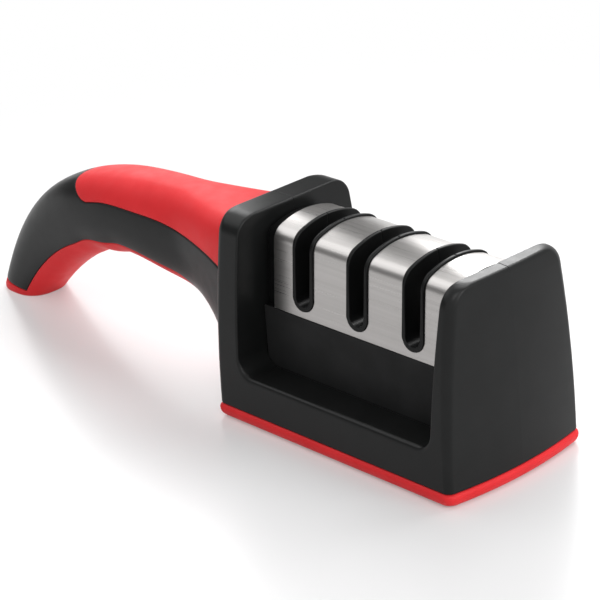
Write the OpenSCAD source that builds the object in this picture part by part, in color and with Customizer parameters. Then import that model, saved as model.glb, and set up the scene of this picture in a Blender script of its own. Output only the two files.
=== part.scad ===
// Pull-through knife sharpener: a three-slot grinding cartridge in a moulded stand with an arched handle.
// The table is z = 0, the origin is the middle of the foot pad, and the handle runs out along -X.

/* [Head] */
// Length of the head between its corners
head_l = 88; // [84:1:104]
// Depth of the head at its foot, front to back
head_d = 50.5; // [48:0.5:62]
// Height of the end walls above the table
head_h = 59.3; // [58:0.1:68]
// How far the free end face bows out
end_bow = 2.6; // [1:0.1:5]
// How far the front and back faces lean in at the top of the walls
side_lean = 3.7; // [1:0.1:5]
// Radius of the walls' top corners, seen from the end
crown_r = 6.5; // [4:0.5:9]
// Radius of the upright corners at the foot
corner_r = 2.2; // [1.5:0.1:4]
// Radius of the upright corners at the top
corner_top_r = 4.5; // [3:0.1:6]
// Thickness of the free end wall at the window ledge
free_wall = 6.2; // [5.5:0.1:8]
// Thickness of the free end wall at its top
free_wall_top = 3.8; // [3.4:0.1:5]
// Thickness of the end wall that carries the handle
handle_wall = 9; // [8:0.1:12]
// Height of the window ledge above the table
ledge_h = 14.8; // [13:0.1:17]
// Radius in the window's lower corners
window_r = 5; // [2:0.5:8]

/* [Base] */
// Thickness of the soft foot pad
pad_t = 4; // [3:0.1:5]
// How far the pad stands out past the head
pad_flange = 0.5; // [0:0.1:1.5]
// Thickness of the base plate
plate_t = 3; // [2.5:0.1:4]
// Wall of the head round the base plate
skirt = 2.6; // [2:0.1:4]
// Diameter of the base screws
base_screw_d = 3; // [2.5:0.1:3.5]

/* [Cartridge] */
// Width of the steel cover
cover_w = 67.1; // [63:0.1:70]
// Depth of the steel cover at its lower edge
cover_d = 28; // [25:0.1:31]
// Height of the steel cover's lower edge
cover_low = 32.4; // [29:0.1:34]
// Height of the steel cover's crest
cover_top = 57.3; // [55:0.1:59]
// Lean of the cover's front and back, in degrees
cover_lean = 5; // [2:0.5:9]
// Radius of the cover's crest
crest_r = 26; // [20:0.5:40]
// Radius of the cover's shoulders
shoulder_r = 4.6; // [3:0.1:6]
// Thickness of the steel sheet
sheet_t = 0.7; // [0.5:0.05:1]
// Distance between two slots
slot_pitch = 20.6; // [19:0.1:22]
// Distance of the middle slot from the middle of the bay
slot_shift = 0.35; // [0:0.05:1.5]
// Clear width of a slot
slot_w = 5.4; // [4.6:0.1:6.2]
// Height of the floor of a slot
slot_floor = 35.6; // [34:0.1:37]
// Width of the moulded rim round a slot
rim_w = 1.2; // [0.8:0.1:1.5]
// How far the rim stands out of the steel
rim_proud = 0.6; // [0.3:0.1:1]

/* [Abrasives] */
// Height at which the two sides of a vee cross
vee_z = 41; // [39:0.1:43]
// Lean of each side of a vee from upright, in degrees
vee_angle = 20; // [15:0.5:24]
// Diameter of the diamond rods
diamond_d = 4; // [3:0.1:4.4]
// Diameter of the ceramic rods
ceramic_d = 4.2; // [3:0.1:4.4]
// Thickness of the carbide plates
carbide_t = 2.4; // [1.6:0.1:3]
// Width of the carbide plates
carbide_w = 4.6; // [3.5:0.1:5]
// Length of the rods and plates above the crossing
vee_up = 11; // [9:0.1:12]
// Length of the rods and plates below the crossing
vee_down = 8; // [6:0.1:9]

/* [Handle] */
// Reach of the handle from the head to the far side of its foot
handle_reach = 124.8; // [112:0.1:136]
// Height of the handle's top at the head
root_top = 54; // [50:0.1:56]
// Height of the handle's flare at the head
root_low = 8.9; // [8:0.1:14]
// Width of the handle at the head
root_w = 39.6; // [34:0.1:41]
// Width of the handle in the hand
grip_w = 24; // [20:0.1:28]
// Width of the foot
foot_w = 17; // [14:0.1:22]
// Length of the foot on the table
foot_l = 19; // [14:0.1:22]
// Height of the finger arch
arch_h = 26.4; // [24:0.1:29]
// Distance from the head to the highest point of the finger arch
arch_at = 55; // [50:0.5:60]
// Depth of the finger grooves
groove_depth = 0.9; // [0.3:0.1:1.5]
// Thickness of the soft grips
soft_t = 2; // [1.4:0.1:2.6]
// Height of the tenon that holds the handle in the head
tenon_h = 26; // [20:0.1:28]
// Width of the tenon
tenon_w = 22; // [18:0.1:26]

/* [Pins] */
// Diameter of the locating pins
pin_d = 3; // [2:0.1:3.2]
// Length of the locating pins
pin_l = 12; // [8:0.5:14]

/* [Hidden] */
$fn = 72;

// Clearances: between fixed pieces, round a piece that lifts out, and under it
fit = 0.1;
slide_gap = 0.35;
seat_gap = 0.1;
through = 200;
thin = 0.01;

// Head
wall_edge_r = 1.5;
crown_z = head_h - crown_r;
lean_angle = atan(2 * side_lean / (crown_z - pad_t));
crown_start = crown_z + crown_r * sin(lean_angle);
bay_x0 = -head_l / 2 + handle_wall;
bay_x1 = head_l / 2 - free_wall;
bay_xc = (bay_x0 + bay_x1) / 2;
window_x1 = head_l / 2 - free_wall_top;
bay_d = cover_d + 2 * slide_gap;
plate_z = pad_t + plate_t;

// Base
pad_edge_r = 1.3;
screw_in = 4;
base_screw_x = [bay_x0 + screw_in, bay_x1 - screw_in];
base_screw_y = (bay_d / 2 + head_d / 2 - skirt) / 2;
screw_cap = 2.6;
base_screw_top = ledge_h - screw_cap;
base_head_d = 2 * base_screw_d;
base_head_h = 0.55 * base_screw_d;

// Cartridge
cart_x0 = bay_x0 + slide_gap;
cart_x1 = bay_x1 - slide_gap;
cart_z = plate_z + seat_gap;
cover_end = 1.2;
cover_x1 = bay_x1 - cover_end;
cover_x0 = cover_x1 - cover_w;
cheek_drop = 1.6;
cheek_step = 0.2;
cheek_lap = 1;
slot_xc = bay_xc + slot_shift;
slot_x = [for (i = [-1:1]) slot_xc + i * slot_pitch];
rim_half = slot_w / 2 + rim_w;
rim_floor = slot_floor - rim_w;
crest_z = cover_top - crest_r;
shoulder_in = cover_d / 2 - shoulder_r * cos(cover_lean);
shoulder_up = cover_low - shoulder_r * sin(cover_lean) - crest_z;
shoulder_h = shoulder_up * cos(cover_lean) - shoulder_in * sin(cover_lean);
shoulder_k = shoulder_in * shoulder_in + shoulder_up * shoulder_up - pow(crest_r - shoulder_r, 2);
shoulder_run = sqrt(shoulder_h * shoulder_h - shoulder_k) - shoulder_h;
shoulder_y = shoulder_in - shoulder_run * sin(cover_lean);
shoulder_z = shoulder_up + crest_z + shoulder_run * cos(cover_lean);
shoulder_a = atan2(shoulder_z - crest_z, shoulder_y);
cart_screw_d = 2.5;
cart_screw_drop = 1;
cart_screw_z = vee_z - cart_screw_drop;
cart_screw_seat = 7.5;
cart_screw_tip = -9;
cart_head_d = 4.8;
cart_head_h = 2;
cart_screw_x = [slot_xc - slot_pitch / 2, slot_xc + slot_pitch / 2];
cart_pin_in = 6;
cart_pin_x = [cover_x0 + cart_pin_in, cover_x1 - cart_pin_in];
cart_pin_z = (cart_z + cover_low) / 2;

// Handle: its curves run over the distance from the head and the height
wall_x = -head_l / 2;
crest_at = 0.45 * handle_reach;
crest_dip = 2;
knuckle_at = handle_reach - 24;
knuckle_rise = 6;
flare_at = 8.8;
flare_rise = 7;
arch_in = 34;
arch_out = 19;
heel_in = 15;
heel_rise = 15;
foot_x = handle_reach - foot_l;
top_curve = [
    [0, root_top],
    [crest_at, root_top - crest_dip],
    [knuckle_at, root_top + knuckle_rise],
    [handle_reach, 0],
];
flare_curve = [
    [0, root_low],
    [flare_at, root_low + flare_rise],
    [arch_at - arch_in, arch_h],
    [arch_at, arch_h],
];
foot_curve = [
    [arch_at, arch_h],
    [arch_at + arch_out, arch_h],
    [foot_x - heel_in, heel_rise],
    [foot_x, 0],
];
arch_u = 0.42;
flare_u = 0.22;
flare_power = 1.2;
section_n = 2.5;
root_n = 5;
root_lean = 1.8;
fingers = 3;
groove_u = [0.18, 0.66];
top_angle = 70;
top_angle_root = 85;
top_round_u = 0.49;
top_tip_u = 0.548;
top_tip_sin = 0.98;
top_end_u = top_round_u + top_tip_sin * (top_tip_u - top_round_u);
under_angle = 57;
under_angle_foot = 68;
under_start_u = 0.1;
under_full_u = 0.28;
tip_angle = 4;
sole_u = 0.98;
pocket_step = 0.002;
bond_gap = 0.06;
bond_angle = 0.4;
lip_angle = 4;
top_n = 9;
side_n = 7;
under_n = 8;
sole_n = 24;

// Tenon and pins
tenon_rise = 1;
tenon_z = (root_top + root_low) / 2 + tenon_rise;
flange_t = 3.5;
tenon_root = 6;
skin_t = (handle_wall - flange_t) / 2;
neck_step = 4;
neck_h = tenon_h - 2 * neck_step;
neck_w = tenon_w - 2 * neck_step;
tenon_pin_x = wall_x + skin_t + flange_t / 2;
tenon_pin_d = 2;
tenon_pin_bite = 5;
tenon_pin_l = tenon_w + 2 * tenon_pin_bite;
tenon_pin_z = [tenon_z - neck_h / 4, tenon_z + neck_h / 4];
pin_land = pin_d + 1;
pin_z = [tenon_z - tenon_h / 2 - pin_land, tenon_z + tenon_h / 2 + pin_land];
pin_x = [wall_x + handle_wall / 2, bay_x1 + (free_wall + end_bow) / 2];

// Colours
black = [0.19, 0.19, 0.19];
inner_black = [0.13, 0.13, 0.13];
red = [0.80, 0.15, 0.16];
steel = [0.72, 0.71, 0.69];
screw_steel = [0.55, 0.55, 0.56];
carbide_grey = [0.36, 0.37, 0.39];
diamond_grey = [0.48, 0.47, 0.45];
ceramic_white = [0.92, 0.91, 0.88];

// Shared shapes

// Half of the head's depth at a height
function half_depth(z) = head_d / 2 - side_lean * pow((z - pad_t) / (crown_z - pad_t), 2);

function arc_points(c, r, a0, a1, n) =
    [for (i = [0:n]) let (a = a0 + (a1 - a0) * i / n) c + r * [cos(a), sin(a)]];

// Plan outline of the head: rounded corners, a flat end at the handle and a bowed free end
function plan_points(half_d, r, inset) =
    let (
        x = head_l / 2 - inset - r,
        y = half_d - inset - r,
        free_end = concat(
            arc_points([x, -y], r, -90, 0, 5),
            [for (i = [1:5]) [x + r, y * (i - 3) / 3]],
            arc_points([x, y], r, 0, 90, 5)
        ),
        bowed = [for (p = free_end) [p[0] + end_bow * (1 - pow(p[1] / half_d, 2)), p[1]]]
    )
    concat(bowed, arc_points([-x, y], r, 90, 180, 5), arc_points([-x, -y], r, 180, 270, 5));

module plan_slice(z, half_d, r, inset) {
    translate([0, 0, z]) linear_extrude(thin) polygon(plan_points(half_d, r, inset));
}

// Inset of the plan near the walls' top, which rounds the outer top edge
function top_edge_inset(z) =
    let (up = max(0, z - (head_h - wall_edge_r)))
    wall_edge_r - sqrt(max(0, wall_edge_r * wall_edge_r - up * up));

function corner_at(z) = corner_r + (corner_top_r - corner_r) * (z - pad_t) / (head_h - pad_t);

// The head as one lofted block: upright ends, leaning faces and a rounded crown
module head_block() {
    side_steps = 5;
    crown_steps = 6;
    hull() {
        for (i = [0:side_steps]) {
            z = pad_t + (crown_start - pad_t) * i / side_steps;
            plan_slice(z, half_depth(z), corner_at(z), 0);
        }
        for (i = [1:crown_steps]) {
            a = lean_angle + (90 - lean_angle) * i / crown_steps;
            z = crown_z + crown_r * sin(a) - thin;
            half_d = half_depth(crown_start) - crown_r * (cos(lean_angle) - cos(a));
            plan_slice(z, half_d, corner_at(z), top_edge_inset(z));
        }
    }
}

// A hole, pin or rod along Y, from y0 to y1
module along_y(d, x, z, y0, y1) {
    translate([x, y0, z]) rotate([-90, 0, 0]) cylinder(d = d, h = y1 - y0);
}

// The space on one side of the parting plane: -1 in front, 1 behind
module half_space(side) {
    translate([-through, side < 0 ? -through : 0, -through]) cube([2 * through, through, 2 * through]);
}

// Housing

// Front view of the opening between the end walls: rounded lower corners and a drafted free wall
module window_shape() {
    low = ledge_h + window_r;
    polygon([
        [bay_x0, low],
        [bay_x1, low],
        [window_x1, head_h],
        [window_x1, through],
        [bay_x0, through],
    ]);
    translate([bay_x0 + window_r, ledge_h]) square([bay_x1 - bay_x0 - 2 * window_r, low]);
    for (x = [bay_x0 + window_r, bay_x1 - window_r]) translate([x, low]) circle(window_r);
}

module bay() {
    translate([0, through / 2, 0]) rotate([90, 0, 0]) linear_extrude(through) window_shape();
    translate([bay_x0, -bay_d / 2, plate_z - fit]) cube([bay_x1 - bay_x0, bay_d, through]);
}

module plate_recess() {
    translate([0, 0, pad_t - plate_t]) linear_extrude(2 * plate_t)
        polygon(plan_points(head_d / 2, corner_r, skirt));
}

// Tenon of the handle, rooted in it by a length, or its socket when grown by a clearance
module tenon(grow, root) {
    translate([wall_x - root, -neck_w / 2 - grow, tenon_z - neck_h / 2 - grow])
        cube([root + skin_t + flange_t / 2, neck_w + 2 * grow, neck_h + 2 * grow]);
    translate([wall_x + skin_t - grow, -tenon_w / 2 - grow, tenon_z - tenon_h / 2 - grow])
        cube([flange_t + 2 * grow, tenon_w + 2 * grow, tenon_h + 2 * grow]);
}

module housing_half(side) {
    difference() {
        intersection() {
            head_block();
            half_space(side);
        }
        bay();
        plate_recess();
        tenon(fit, fit);
        for (x = pin_x, z = pin_z)
            along_y(pin_d + fit, x, z, -pin_l / 2 - fit, pin_l / 2 + fit);
        for (z = tenon_pin_z)
            along_y(tenon_pin_d + fit, tenon_pin_x, z, -tenon_pin_l / 2 - fit, tenon_pin_l / 2 + fit);
        for (x = base_screw_x)
            translate([x, side * base_screw_y, pad_t])
                cylinder(d = base_screw_d + fit, h = base_screw_top - pad_t + fit);
    }
}

module housing_front() { color(black) housing_half(-1); }

module housing_rear() { color(black) housing_half(1); }

module housing_pins() {
    color(screw_steel) for (x = pin_x, z = pin_z) along_y(pin_d, x, z, -pin_l / 2, pin_l / 2);
}

// Base

module base_screw(x, y) {
    translate([x, y, pad_t]) {
        cylinder(d1 = base_head_d, d2 = base_screw_d, h = base_head_h);
        cylinder(d = base_screw_d, h = base_screw_top - pad_t);
    }
}

module base_plate() {
    color(inner_black) difference() {
        translate([0, 0, pad_t]) linear_extrude(plate_t - fit)
            polygon(plan_points(head_d / 2, corner_r, skirt + fit));
        for (x = base_screw_x, y = [-base_screw_y, base_screw_y]) translate([x, y, pad_t]) {
            cylinder(d1 = base_head_d + 2 * fit, d2 = base_screw_d + 2 * fit, h = base_head_h);
            cylinder(d = base_screw_d + 2 * fit, h = plate_t);
        }
    }
}

module base_screws() {
    color(screw_steel) for (x = base_screw_x, y = [-base_screw_y, base_screw_y]) base_screw(x, y);
}

module base_pad() {
    color(red) hull() for (a = [0:30:90]) {
        inset = pad_edge_r * (1 - sin(a)) - pad_flange;
        rise = pad_edge_r * (1 - cos(a));
        plan_slice(rise, head_d / 2, corner_r, inset);
        plan_slice(pad_t - rise - thin, head_d / 2, corner_r, inset);
    }
}

// Handle

function bezier(p, t) =
    let (s = 1 - t)
    s * s * s * p[0] + 3 * s * s * t * p[1] + 3 * s * t * t * p[2] + t * t * t * p[3];

// How far the handle has spread out towards the head: 1 at the head, 0 in the hand
function flare(u) = pow(max(0, 1 - u / flare_u), flare_power);

function ease(t) = let (c = min(1, max(0, t))) c * c * (3 - 2 * c);

function top_point(u) = bezier(top_curve, u);

function plain_under(u) =
    u < arch_u ? bezier(flare_curve, u / arch_u) : bezier(foot_curve, (u - arch_u) / (1 - arch_u));

// Direction from the underside to the top in the section at u
function lift(u) = let (v = top_point(u) - plain_under(u)) v / norm(v);

function groove(u) =
    let (t = (u - groove_u[0]) / (groove_u[1] - groove_u[0]))
    t < 0 || t > 1 ? 0 : groove_depth * (1 - cos(360 * fingers * t)) / 2;

function under_point(u) = plain_under(u) + lift(u) * groove(u);

function half_width(u) =
    grip_w / 2
        + (root_w - grip_w) / 2 * flare(u)
        + (foot_w - grip_w) / 2 * ease((u - arch_u) / (1 - arch_u));

// How square the section is: squarer where the handle spreads against the head
function squareness(u) = section_n + (root_n - section_n) * flare(u);

function power(v, n) = sign(v) * pow(abs(v), n);

// A point of the section at u, at an angle from its top, set in from the surface
function section_point(u, angle, inset) =
    let (
        top = top_point(u),
        under = under_point(u),
        mid = (top + under) / 2,
        half_h = norm(top - under) / 2 - inset,
        bend = 2 / squareness(u),
        rise = power(cos(angle), bend),
        p = mid + lift(u) * half_h * rise,
        y = -(half_width(u) - root_lean * flare(u) * rise - inset) * power(sin(angle), bend)
    )
    [wall_x - p[0], y, p[1]];

// Half angles that the top grip and the grip under the handle take up at u
function top_half(u) =
    let (t = min(top_tip_sin, max(0, (u - top_round_u) / (top_tip_u - top_round_u))))
    (top_angle + (top_angle_root - top_angle) * flare(u)) * sqrt(1 - t * t);

function under_half(u) =
    max(tip_angle, under_angle * ease((u - under_start_u) / (under_full_u - under_start_u))
        + (under_angle_foot - under_angle) * ease((u - arch_u) / (1 - arch_u)));

// Points of a section over a range of angles; ends = 0 leaves the first and last out
function span(u, a0, a1, n, inset, ends) =
    [for (i = [1 - ends:n - 1 + ends]) section_point(u, a0 + (a1 - a0) * i / n, inset)];

// Section of the core; its pockets are deeper than the soft strips by the bond gap, and wider by a gap angle
function core_ring(u, top_on, under_on, gap) =
    let (
        t = top_half(u),
        b = under_half(u),
        pocket = soft_t + bond_gap
    )
    concat(
        span(u, -t, t, top_n, top_on * pocket, 1),
        span(u, t + gap, 180 - b - gap, side_n, 0, 1),
        span(u, 180 - b, 180 + b, under_n, under_on * pocket, 1),
        span(u, 180 + b + gap, 360 - t - gap, side_n, 0, 1)
    );

// Section of the top grip: out along the surface and back along the pocket floor
function top_ring(u) =
    let (t = top_half(u))
    concat(span(u, -t, t, top_n, 0, 1), span(u, t, -t, top_n, soft_t, 1));

// Section of the grip under the handle, which closes to the whole section at the sole
function under_ring(u, whole) =
    let (
        b = under_half(u),
        outer = span(u, 180 - b, 180 + b, under_n, 0, 1)
    )
    concat(outer, whole
        ? span(u, 180 + b, 540 - b, sole_n + 1, 0, 0)
        : span(u, 180 + b, 180 - b, sole_n - 1, soft_t, 1));

function steps(u0, u1, n) = [for (i = [0:n]) u0 + (u1 - u0) * i / n];

// Stations that crowd together towards the round end of the top grip
function tip_steps(n) =
    [for (i = [0:n]) top_round_u + (top_tip_u - top_round_u) * sin(asin(top_tip_sin) * i / n)];

function tail(list) = [for (i = [1:len(list) - 1]) list[i]];

root_steps = steps(pocket_step, under_start_u, 6);
hand_steps = concat(steps(under_start_u + pocket_step, top_round_u, 12), tail(tip_steps(5)));
knuckle_steps = steps(top_end_u + pocket_step, sole_u, 9);
sole_steps = steps(sole_u + pocket_step, 1, 2);

// Solid through a row of rings with equal numbers of points
module loft(rings) {
    m = len(rings[0]);
    n = len(rings);
    sides = [
        for (i = [0:n - 2], j = [0:m - 1])
            let (a = i * m + j, b = i * m + (j + 1) % m)
            each [[a, b, b + m], [a, b + m, a + m]]
    ];
    first = [for (j = [m - 1:-1:0]) j];
    last = [for (j = [0:m - 1]) (n - 1) * m + j];
    polyhedron([for (r = rings) each r], concat(sides, [first, last]), convexity = 6);
}

module handle_core() {
    color(black) union() {
        loft(concat(
            [core_ring(0, 0, 0, lip_angle)],
            [for (u = root_steps) core_ring(u, 1, 0, bond_angle)],
            [for (u = hand_steps) core_ring(u, 1, 1, bond_angle)],
            [for (u = knuckle_steps) core_ring(u, 0, 1, bond_angle)]
        ));
        difference() {
            tenon(0, tenon_root);
            for (z = tenon_pin_z)
                along_y(tenon_pin_d + fit, tenon_pin_x, z, -tenon_pin_l, tenon_pin_l);
        }
    }
}

module tenon_pins() {
    color(screw_steel) for (z = tenon_pin_z)
        along_y(tenon_pin_d, tenon_pin_x, z, -tenon_pin_l / 2, tenon_pin_l / 2);
}

module top_grip() {
    color(red) loft([for (u = concat(root_steps, tail(hand_steps))) top_ring(u)]);
}

module under_grip() {
    color(red) loft(concat(
        [for (u = concat(hand_steps, tail(knuckle_steps))) under_ring(u, false)],
        [for (u = sole_steps) under_ring(u, true)]
    ));
}

// Cartridge

// End view of the cover's outline, set in from its outer face: lean, shoulders and crest
module cover_profile(inset) {
    lean_in = inset / cos(cover_lean);
    side = [cos(cover_lean), sin(cover_lean)] * (shoulder_r - inset);
    top = [cos(shoulder_a), sin(shoulder_a)] * (shoulder_r - inset);
    low = cover_d / 2 - lean_in;
    right = [
        [low, cover_low],
        [shoulder_y + side[0], shoulder_z + side[1]],
        [shoulder_y + top[0], shoulder_z + top[1]],
    ];
    polygon(concat(right, [for (i = [2:-1:0]) [-right[i][0], right[i][1]]]));
    for (s = [-1, 1]) translate([s * shoulder_y, shoulder_z]) circle(shoulder_r - inset);
    intersection() {
        translate([0, crest_z]) circle(crest_r - inset, $fn = 180);
        translate([-right[2][0], shoulder_z]) square([2 * right[2][0], crest_r]);
    }
}

module cover_solid(inset, x0, x1) {
    translate([x0, 0, 0]) rotate([90, 0, 90]) linear_extrude(x1 - x0) cover_profile(inset);
}

// A slot's outline seen from the front, run through from front to back
module slot_cut(x, half_w, floor_z) {
    translate([x, through / 2, 0]) rotate([90, 0, 0]) linear_extrude(through) {
        translate([0, floor_z + half_w]) circle(half_w);
        translate([-half_w, floor_z + half_w]) square([2 * half_w, through]);
    }
}

module cartridge_block() {
    cover_solid(sheet_t + fit / 2, cover_x0, cover_x1);
    cover_solid(cheek_drop, cart_x0, cart_x1);
    translate([cart_x0, -cover_d / 2, cart_z]) cube([cart_x1 - cart_x0, cover_d, cover_low - fit - cart_z]);
    translate([cart_x0, -cover_d / 2 + cheek_drop + cheek_step, cart_z])
        cube([cart_x1 - cart_x0, cover_d - 2 * (cheek_drop + cheek_step), cover_low + cheek_lap - cart_z]);
    for (x = slot_x) intersection() {
        cover_solid(-rim_proud, cover_x0, cover_x1);
        slot_cut(x, rim_half, rim_floor);
    }
}

// One side of a vee: its working edge or surface passes through the crossing point.
// side -1 lies in front of the parting plane and leans to +X, side 1 lies behind it and leans to -X.
module vee_place(x, side, half, y) {
    translate([x, y, vee_z]) rotate([0, -side * vee_angle, 0]) translate([-side * half, 0, 0]) children();
}

module rod(x, side, d, grow) {
    vee_place(x, side, d / 2, side * (d / 2 + fit)) translate([0, 0, -vee_down - grow]) {
        cylinder(d = d + 2 * grow, h = vee_up + vee_down + 2 * grow);
        if (grow > 0) translate([-d / 2 - grow, side > 0 ? -d : 0, 0])
            cube([d + 2 * grow, d, vee_up + vee_down + 2 * grow]);
    }
}

module carbide_plate(x, side, grow) {
    vee_place(x, side, carbide_w / 2, side * (carbide_t / 2 + fit))
        translate([-carbide_w / 2 - grow, -carbide_t / 2 - grow, -vee_down - grow])
            cube([carbide_w + 2 * grow, carbide_t + 2 * grow, vee_up + vee_down + 2 * grow]);
}

module cartridge_half(side) {
    difference() {
        intersection() {
            cartridge_block();
            half_space(side);
        }
        for (x = slot_x) slot_cut(x, slot_w / 2, slot_floor);
        carbide_plate(slot_x[0], side, fit);
        rod(slot_x[1], side, diamond_d, fit);
        rod(slot_x[2], side, ceramic_d, fit);
        for (x = cart_screw_x) {
            along_y(cart_screw_d + fit, x, cart_screw_z, cart_screw_tip - fit, cover_d);
            along_y(cart_head_d + 2 * fit, x, cart_screw_z, cart_screw_seat, cover_d);
        }
        for (x = cart_pin_x) along_y(pin_d + fit, x, cart_pin_z, -pin_l / 2 - fit, pin_l / 2 + fit);
    }
}

module cartridge_front() { color(inner_black) cartridge_half(-1); }

module cartridge_rear() { color(inner_black) cartridge_half(1); }

module cartridge_pins() {
    color(screw_steel) for (x = cart_pin_x) along_y(pin_d, x, cart_pin_z, -pin_l / 2, pin_l / 2);
}

module cartridge_screws() {
    color(screw_steel) for (x = cart_screw_x) {
        along_y(cart_screw_d, x, cart_screw_z, cart_screw_tip, cart_screw_seat + cart_head_h / 2);
        along_y(cart_head_d, x, cart_screw_z, cart_screw_seat, cart_screw_seat + cart_head_h);
    }
}

module steel_cover() {
    inner_d = cover_d - 2 * sheet_t / cos(cover_lean);
    color(steel) difference() {
        cover_solid(0, cover_x0, cover_x1);
        cover_solid(sheet_t, cover_x0 - sheet_t, cover_x1 + sheet_t);
        translate([cover_x0 - sheet_t, -inner_d / 2, cover_low - sheet_t])
            cube([cover_w + 2 * sheet_t, inner_d, sheet_t + thin]);
        for (x = slot_x) slot_cut(x, rim_half + fit, rim_floor - fit);
    }
}

module carbide_front() { color(carbide_grey) carbide_plate(slot_x[0], -1, 0); }

module carbide_rear() { color(carbide_grey) carbide_plate(slot_x[0], 1, 0); }

module diamond_rod_front() { color(diamond_grey) rod(slot_x[1], -1, diamond_d, 0); }

module diamond_rod_rear() { color(diamond_grey) rod(slot_x[1], 1, diamond_d, 0); }

module ceramic_rod_front() { color(ceramic_white) rod(slot_x[2], -1, ceramic_d, 0); }

module ceramic_rod_rear() { color(ceramic_white) rod(slot_x[2], 1, ceramic_d, 0); }

housing_front();
housing_rear();
housing_pins();
base_plate();
base_pad();
base_screws();
handle_core();
tenon_pins();
top_grip();
under_grip();
cartridge_front();
cartridge_rear();
cartridge_pins();
cartridge_screws();
steel_cover();
carbide_front();
carbide_rear();
diamond_rod_front();
diamond_rod_rear();
ceramic_rod_front();
ceramic_rod_rear();
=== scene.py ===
# Pull-through knife sharpener: a three-slot cartridge under brushed steel, in a black stand with a handle.
# Sizes are written in millimetres and laid down in metres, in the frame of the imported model.
from math import asin, atan, atan2, cos, hypot, pi, radians, sin, sqrt

import bmesh
import bpy
from mathutils import Matrix, Vector


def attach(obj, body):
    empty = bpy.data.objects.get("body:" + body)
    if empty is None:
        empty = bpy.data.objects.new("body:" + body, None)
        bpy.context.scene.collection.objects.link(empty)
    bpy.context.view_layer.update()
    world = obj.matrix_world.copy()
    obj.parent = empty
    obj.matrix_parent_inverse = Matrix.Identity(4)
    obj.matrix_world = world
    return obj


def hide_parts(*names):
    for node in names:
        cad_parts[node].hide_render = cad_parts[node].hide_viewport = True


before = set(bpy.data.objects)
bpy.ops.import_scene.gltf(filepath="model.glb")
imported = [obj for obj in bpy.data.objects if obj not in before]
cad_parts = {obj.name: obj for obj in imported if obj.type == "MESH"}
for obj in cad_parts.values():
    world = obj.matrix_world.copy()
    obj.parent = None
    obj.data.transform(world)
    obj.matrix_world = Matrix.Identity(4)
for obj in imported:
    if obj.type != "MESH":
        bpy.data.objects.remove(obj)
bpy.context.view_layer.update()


# Housing: the two shell halves of the head, moulded in satin black plastic with a fine eroded grain.
# They meet on the middle plane, line up on pins, and hold the handle's tenon and the base plate.
mm = 0.001
fit = 0.1
head_half_length = 44
foot_half_depth = 25.25
face_run_in = 3.7
head_height = 59.3
pad_height = 4
free_end_bow = 2.6
bow_lost_at_top = 2
foot_corner = 2
corner_growth = 0.7
plate_corner = 2.2
plate_wall = 2.6
crown_radius = 6.5
top_edge = 0.9
window_left = 35
window_right = 37.8
window_flare = 2.4
window_corner = 5
ledge_height = 14.8
soft_edge = 0.7
softer_ledge = 0.9
bay_half_depth = 14.35
wall_middle = -39.5
tenon_half_width = 7
tenon_low = 23.45
tenon_high = 41.45
flange_half_width = 11
flange_left = -41.25
flange_right = -37.75
flange_low = 19.45
flange_high = 45.45
tenon_pin_heights = (27.95, 36.95)
tenon_pin_hole = 2.1
pin_hole = 3.1
pin_hole_reach = 6.1
housing_pin_heights = (15.45, 49.45)
housing_pin_places = (wall_middle, 42.2)
base_screw_places = (-31, 33.8)
base_screw_out = 18.5
base_screw_hole = 3.1
crown_centre = head_height - crown_radius
face_lean = atan(2 * face_run_in / (crown_centre - pad_height))
crown_start = crown_centre + crown_radius * sin(face_lean)
window_low = ledge_height + window_corner
face_top = ledge_height - soft_edge - softer_ledge


def head_half_depth(z):
    return foot_half_depth - face_run_in * ((z - pad_height) / (crown_centre - pad_height)) ** 2


def ease(t):
    t = min(1, max(0, t))
    return t * t * (3 - 2 * t)


def arc(x, y, radius, a0, a1, n):
    turns = [a0 + (a1 - a0) * i / n for i in range(n + 1)]
    return [(x + radius * cos(radians(a)), y + radius * sin(radians(a))) for a in turns]


def head_outline(half_depth, corner, inset):
    """Plan of the head: a bowed free end, two straight faces and a flat end at the handle."""
    x = head_half_length - inset - corner
    y = half_depth - inset - corner
    free_end = arc(x, -y, corner, -90, 0, 8)
    free_end += [(x + corner, y * (i - 8) / 8) for i in range(1, 16)]
    free_end += arc(x, y, corner, 0, 90, 8)
    bowed = [(px + free_end_bow * (1 - (py / half_depth) ** 2), py) for px, py in free_end]
    return bowed + arc(-x, y, corner, 90, 180, 8) + arc(-x, -y, corner, 180, 270, 8)


def make_active(piece):
    bpy.ops.object.select_all(action="DESELECT")
    piece.select_set(True)
    bpy.context.view_layer.objects.active = piece


def lay_sheet(name, rows):
    """A flat grid is added and each of its rows is laid along a row of points."""
    across = len(rows[0]) - 1
    along = len(rows) - 1
    bpy.ops.object.select_all(action="DESELECT")
    bpy.ops.mesh.primitive_grid_add(x_subdivisions=across, y_subdivisions=along, size=2)
    piece = bpy.context.object
    piece.name = name
    for vertex in piece.data.vertices:
        row = rows[round((vertex.co.y + 1) / 2 * along)]
        vertex.co = Vector(row[round((vertex.co.x + 1) / 2 * across)]) * mm
    return piece


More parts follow.
